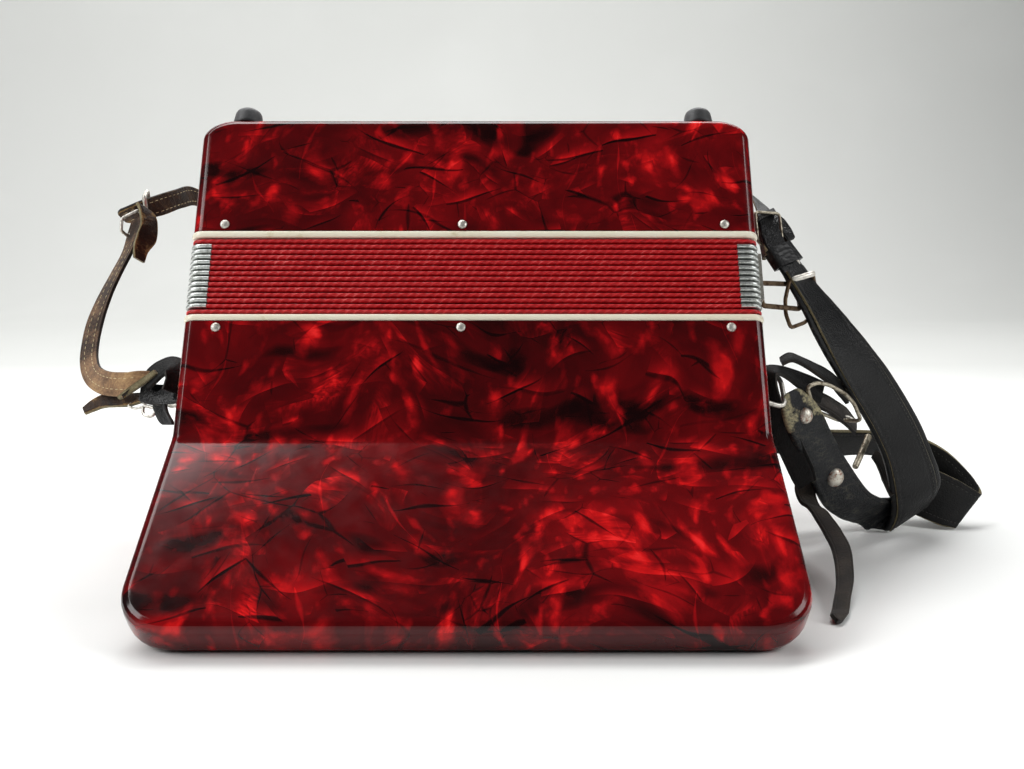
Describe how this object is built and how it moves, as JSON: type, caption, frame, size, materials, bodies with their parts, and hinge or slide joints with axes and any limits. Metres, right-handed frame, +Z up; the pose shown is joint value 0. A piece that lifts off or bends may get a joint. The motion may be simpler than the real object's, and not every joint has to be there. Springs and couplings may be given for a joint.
{
  "type": "piano accordion",
  "caption": "Small piano accordion on its keyboard edge, bellows closed: keys, grille, bass buttons, hand strap and shoulder straps on wire rings.",
  "frame": {"origin": "middle of the bounding box in X and Y, on the floor", "axes": "+X along the keyboard to the high keys, +Y from the player's side to the grille, +Z up; the accordion leans back 26 degrees, so its bellows open along (0, 0.432, 0.902)"},
  "size_m": [0.5464, 0.319, 0.2499],
  "materials": {
    "celluloid": "glossy",
    "grille": "glossy",
    "cloth": "matte",
    "wood": "matte",
    "white_key": "glossy",
    "black_key": "glossy",
    "ivory": "satin",
    "bellows": "satin",
    "button": "glossy",
    "rubber": "matte",
    "steel": "polished, worn",
    "black_leather": "satin",
    "brown_leather": "worn matte"
  },
  "bodies": {
    "treble": {"treble_case": "celluloid", "treble_board": "wood", "treble_reeds": "wood", "key_axle": "steel", "grille": "grille", "grille_cloth": "cloth", "treble_trim": "ivory", "bellows": "bellows", "bail_plate": "steel", "left_strap": "brown_leather", "left_buckle": "steel", "back_strap": "brown_leather", "shoulder_strap": "black_leather", "right_buckle": "steel", "strap_ring": "steel", "second_strap": "black_leather", "strap_tail": "black_leather"},
    "bass": {"bass_trim": "ivory", "bass_case": "celluloid", "bass_board": "wood", "bass_reeds": "wood", "hand_strap": "black_leather", "foot_back_left": "rubber", "foot_back_right": "rubber", "foot_front_left": "rubber", "foot_front_right": "rubber"},
    "left_ring": {"left_ring": "steel"},
    "right_ring": {"right_ring": "steel"},
    "wire_bail": {"wire_bail": "steel"},
    "key_white_01_F0": {"key_white_01_F0": "white_key"},
    "key_black_01_F0": {"key_black_01_F0": "black_key"},
    "key_white_02_G0": {"key_white_02_G0": "white_key"},
    "key_black_02_G0": {"key_black_02_G0": "black_key"},
    "key_white_03_A0": {"key_white_03_A0": "white_key"},
    "key_black_03_A0": {"key_black_03_A0": "black_key"},
    "key_white_04_B0": {"key_white_04_B0": "white_key"},
    "key_white_05_C1": {"key_white_05_C1": "white_key"},
    "key_black_05_C1": {"key_black_05_C1": "black_key"},
    "key_white_06_D1": {"key_white_06_D1": "white_key"},
    "key_black_06_D1": {"key_black_06_D1": "black_key"},
    "key_white_07_E1": {"key_white_07_E1": "white_key"},
    "key_white_08_F1": {"key_white_08_F1": "white_key"},
    "key_black_08_F1": {"key_black_08_F1": "black_key"},
    "key_white_09_G1": {"key_white_09_G1": "white_key"},
    "key_black_09_G1": {"key_black_09_G1": "black_key"},
    "key_white_10_A1": {"key_white_10_A1": "white_key"},
    "key_black_10_A1": {"key_black_10_A1": "black_key"},
    "key_white_11_B1": {"key_white_11_B1": "white_key"},
    "key_white_12_C2": {"key_white_12_C2": "white_key"},
    "key_black_12_C2": {"key_black_12_C2": "black_key"},
    "key_white_13_D2": {"key_white_13_D2": "white_key"},
    "bass_button_1_1": {"bass_button_1_1": "button"},
    "bass_button_1_2": {"bass_button_1_2": "button"},
    "bass_button_1_3": {"bass_button_1_3": "button"},
    "bass_button_1_4": {"bass_button_1_4": "button"},
    "bass_button_2_1": {"bass_button_2_1": "button"},
    "bass_button_2_2": {"bass_button_2_2": "button"},
    "bass_button_2_3": {"bass_button_2_3": "button"},
    "bass_button_2_4": {"bass_button_2_4": "button"},
    "air_button": {"air_button": "button"}
  },
  "joints": [
    {"name": "bellows_slide", "type": "slide", "parent": "treble", "child": "bass", "axis": [0, 0.4323, 0.9017], "range_m": [0, 0.2], "deforming": ["bellows"]},
    {"name": "key_white_01_F0_hinge", "type": "hinge", "parent": "treble", "child": "key_white_01_F0", "pos_m": [-0.15494, -0.06295, 0.0626], "axis": [-1, 0, 0], "range_deg": [0, 2.9], "stiffness_Nm_per_rad": 0.3, "springref_deg": -11.46},
    {"name": "key_black_01_F0_hinge", "type": "hinge", "parent": "treble", "child": "key_black_01_F0", "pos_m": [-0.14494, -0.06295, 0.0626], "axis": [-1, 0, 0], "range_deg": [0, 2.9], "stiffness_Nm_per_rad": 0.3, "springref_deg": -11.46},
    {"name": "key_white_02_G0_hinge", "type": "hinge", "parent": "treble", "child": "key_white_02_G0", "pos_m": [-0.13494, -0.06295, 0.0626], "axis": [-1, 0, 0], "range_deg": [0, 2.9], "stiffness_Nm_per_rad": 0.3, "springref_deg": -11.46},
    {"name": "key_black_02_G0_hinge", "type": "hinge", "parent": "treble", "child": "key_black_02_G0", "pos_m": [-0.12494, -0.06295, 0.0626], "axis": [-1, 0, 0], "range_deg": [0, 2.9], "stiffness_Nm_per_rad": 0.3, "springref_deg": -11.46},
    {"name": "key_white_03_A0_hinge", "type": "hinge", "parent": "treble", "child": "key_white_03_A0", "pos_m": [-0.11494, -0.06295, 0.0626], "axis": [-1, 0, 0], "range_deg": [0, 2.9], "stiffness_Nm_per_rad": 0.3, "springref_deg": -11.46},
    {"name": "key_black_03_A0_hinge", "type": "hinge", "parent": "treble", "child": "key_black_03_A0", "pos_m": [-0.10494, -0.06295, 0.0626], "axis": [-1, 0, 0], "range_deg": [0, 2.9], "stiffness_Nm_per_rad": 0.3, "springref_deg": -11.46},
    {"name": "key_white_04_B0_hinge", "type": "hinge", "parent": "treble", "child": "key_white_04_B0", "pos_m": [-0.09494, -0.06295, 0.0626], "axis": [-1, 0, 0], "range_deg": [0, 2.9], "stiffness_Nm_per_rad": 0.3, "springref_deg": -11.46},
    {"name": "key_white_05_C1_hinge", "type": "hinge", "parent": "treble", "child": "key_white_05_C1", "pos_m": [-0.07494, -0.06295, 0.0626], "axis": [-1, 0, 0], "range_deg": [0, 2.9], "stiffness_Nm_per_rad": 0.3, "springref_deg": -11.46},
    {"name": "key_black_05_C1_hinge", "type": "hinge", "parent": "treble", "child": "key_black_05_C1", "pos_m": [-0.06494, -0.06295, 0.0626], "axis": [-1, 0, 0], "range_deg": [0, 2.9], "stiffness_Nm_per_rad": 0.3, "springref_deg": -11.46},
    {"name": "key_white_06_D1_hinge", "type": "hinge", "parent": "treble", "child": "key_white_06_D1", "pos_m": [-0.05494, -0.06295, 0.0626], "axis": [-1, 0, 0], "range_deg": [0, 2.9], "stiffness_Nm_per_rad": 0.3, "springref_deg": -11.46},
    {"name": "key_black_06_D1_hinge", "type": "hinge", "parent": "treble", "child": "key_black_06_D1", "pos_m": [-0.04494, -0.06295, 0.0626], "axis": [-1, 0, 0], "range_deg": [0, 2.9], "stiffness_Nm_per_rad": 0.3, "springref_deg": -11.46},
    {"name": "key_white_07_E1_hinge", "type": "hinge", "parent": "treble", "child": "key_white_07_E1", "pos_m": [-0.03494, -0.06295, 0.0626], "axis": [-1, 0, 0], "range_deg": [0, 2.9], "stiffness_Nm_per_rad": 0.3, "springref_deg": -11.46},
    {"name": "key_white_08_F1_hinge", "type": "hinge", "parent": "treble", "child": "key_white_08_F1", "pos_m": [-0.01494, -0.06295, 0.0626], "axis": [-1, 0, 0], "range_deg": [0, 2.9], "stiffness_Nm_per_rad": 0.3, "springref_deg": -11.46},
    {"name": "key_black_08_F1_hinge", "type": "hinge", "parent": "treble", "child": "key_black_08_F1", "pos_m": [-0.00494, -0.06295, 0.0626], "axis": [-1, 0, 0], "range_deg": [0, 2.9], "stiffness_Nm_per_rad": 0.3, "springref_deg": -11.46},
    {"name": "key_white_09_G1_hinge", "type": "hinge", "parent": "treble", "child": "key_white_09_G1", "pos_m": [0.00506, -0.06295, 0.0626], "axis": [-1, 0, 0], "range_deg": [0, 2.9], "stiffness_Nm_per_rad": 0.3, "springref_deg": -11.46},
    {"name": "key_black_09_G1_hinge", "type": "hinge", "parent": "treble", "child": "key_black_09_G1", "pos_m": [0.01506, -0.06295, 0.0626], "axis": [-1, 0, 0], "range_deg": [0, 2.9], "stiffness_Nm_per_rad": 0.3, "springref_deg": -11.46},
    {"name": "key_white_10_A1_hinge", "type": "hinge", "parent": "treble", "child": "key_white_10_A1", "pos_m": [0.02506, -0.06295, 0.0626], "axis": [-1, 0, 0], "range_deg": [0, 2.9], "stiffness_Nm_per_rad": 0.3, "springref_deg": -11.46},
    {"name": "key_black_10_A1_hinge", "type": "hinge", "parent": "treble", "child": "key_black_10_A1", "pos_m": [0.03506, -0.06295, 0.0626], "axis": [-1, 0, 0], "range_deg": [0, 2.9], "stiffness_Nm_per_rad": 0.3, "springref_deg": -11.46},
    {"name": "key_white_11_B1_hinge", "type": "hinge", "parent": "treble", "child": "key_white_11_B1", "pos_m": [0.04506, -0.06295, 0.0626], "axis": [-1, 0, 0], "range_deg": [0, 2.9], "stiffness_Nm_per_rad": 0.3, "springref_deg": -11.46},
    {"name": "key_white_12_C2_hinge", "type": "hinge", "parent": "treble", "child": "key_white_12_C2", "pos_m": [0.06506, -0.06295, 0.0626], "axis": [-1, 0, 0], "range_deg": [0, 2.9], "stiffness_Nm_per_rad": 0.3, "springref_deg": -11.46},
    {"name": "key_black_12_C2_hinge", "type": "hinge", "parent": "treble", "child": "key_black_12_C2", "pos_m": [0.07506, -0.06295, 0.0626], "axis": [-1, 0, 0], "range_deg": [0, 2.9], "stiffness_Nm_per_rad": 0.3, "springref_deg": -11.46},
    {"name": "key_white_13_D2_hinge", "type": "hinge", "parent": "treble", "child": "key_white_13_D2", "pos_m": [0.08506, -0.06295, 0.0626], "axis": [-1, 0, 0], "range_deg": [0, 2.9], "stiffness_Nm_per_rad": 0.3, "springref_deg": -11.46},
    {"name": "bass_button_1_1_slide", "type": "slide", "parent": "bass", "child": "bass_button_1_1", "axis": [0, -0.4323, -0.9017], "range_m": [0, 0.0035], "stiffness_N_per_m": 60, "springref_m": -0.006},
    {"name": "bass_button_1_2_slide", "type": "slide", "parent": "bass", "child": "bass_button_1_2", "axis": [0, -0.4323, -0.9017], "range_m": [0, 0.0035], "stiffness_N_per_m": 60, "springref_m": -0.006},
    {"name": "bass_button_1_3_slide", "type": "slide", "parent": "bass", "child": "bass_button_1_3", "axis": [0, -0.4323, -0.9017], "range_m": [0, 0.0035], "stiffness_N_per_m": 60, "springref_m": -0.006},
    {"name": "bass_button_1_4_slide", "type": "slide", "parent": "bass", "child": "bass_button_1_4", "axis": [0, -0.4323, -0.9017], "range_m": [0, 0.0035], "stiffness_N_per_m": 60, "springref_m": -0.006},
    {"name": "bass_button_2_1_slide", "type": "slide", "parent": "bass", "child": "bass_button_2_1", "axis": [0, -0.4323, -0.9017], "range_m": [0, 0.0035], "stiffness_N_per_m": 60, "springref_m": -0.006},
    {"name": "bass_button_2_2_slide", "type": "slide", "parent": "bass", "child": "bass_button_2_2", "axis": [0, -0.4323, -0.9017], "range_m": [0, 0.0035], "stiffness_N_per_m": 60, "springref_m": -0.006},
    {"name": "bass_button_2_3_slide", "type": "slide", "parent": "bass", "child": "bass_button_2_3", "axis": [0, -0.4323, -0.9017], "range_m": [0, 0.0035], "stiffness_N_per_m": 60, "springref_m": -0.006},
    {"name": "bass_button_2_4_slide", "type": "slide", "parent": "bass", "child": "bass_button_2_4", "axis": [0, -0.4323, -0.9017], "range_m": [0, 0.0035], "stiffness_N_per_m": 60, "springref_m": -0.006},
    {"name": "air_button_slide", "type": "slide", "parent": "bass", "child": "air_button", "axis": [0, -0.4323, -0.9017], "range_m": [0, 0.004], "stiffness_N_per_m": 80, "springref_m": -0.006},
    {"name": "left_ring_hinge", "type": "hinge", "parent": "treble", "child": "left_ring", "pos_m": [-0.18694, -0.01136, 0.09893], "axis": [0, -0.6731, -0.7396], "range_deg": [0, 60]},
    {"name": "right_ring_hinge", "type": "hinge", "parent": "treble", "child": "right_ring", "pos_m": [0.11706, -0.01136, 0.09893], "axis": [0, -0.6731, -0.7396], "range_deg": [0, 50]},
    {"name": "wire_bail_hinge", "type": "hinge", "parent": "treble", "child": "wire_bail", "pos_m": [0.11946, -0.01665, 0.14804], "axis": [0, 0.5555, 0.8315], "range_deg": [0, 35]}
  ]
}
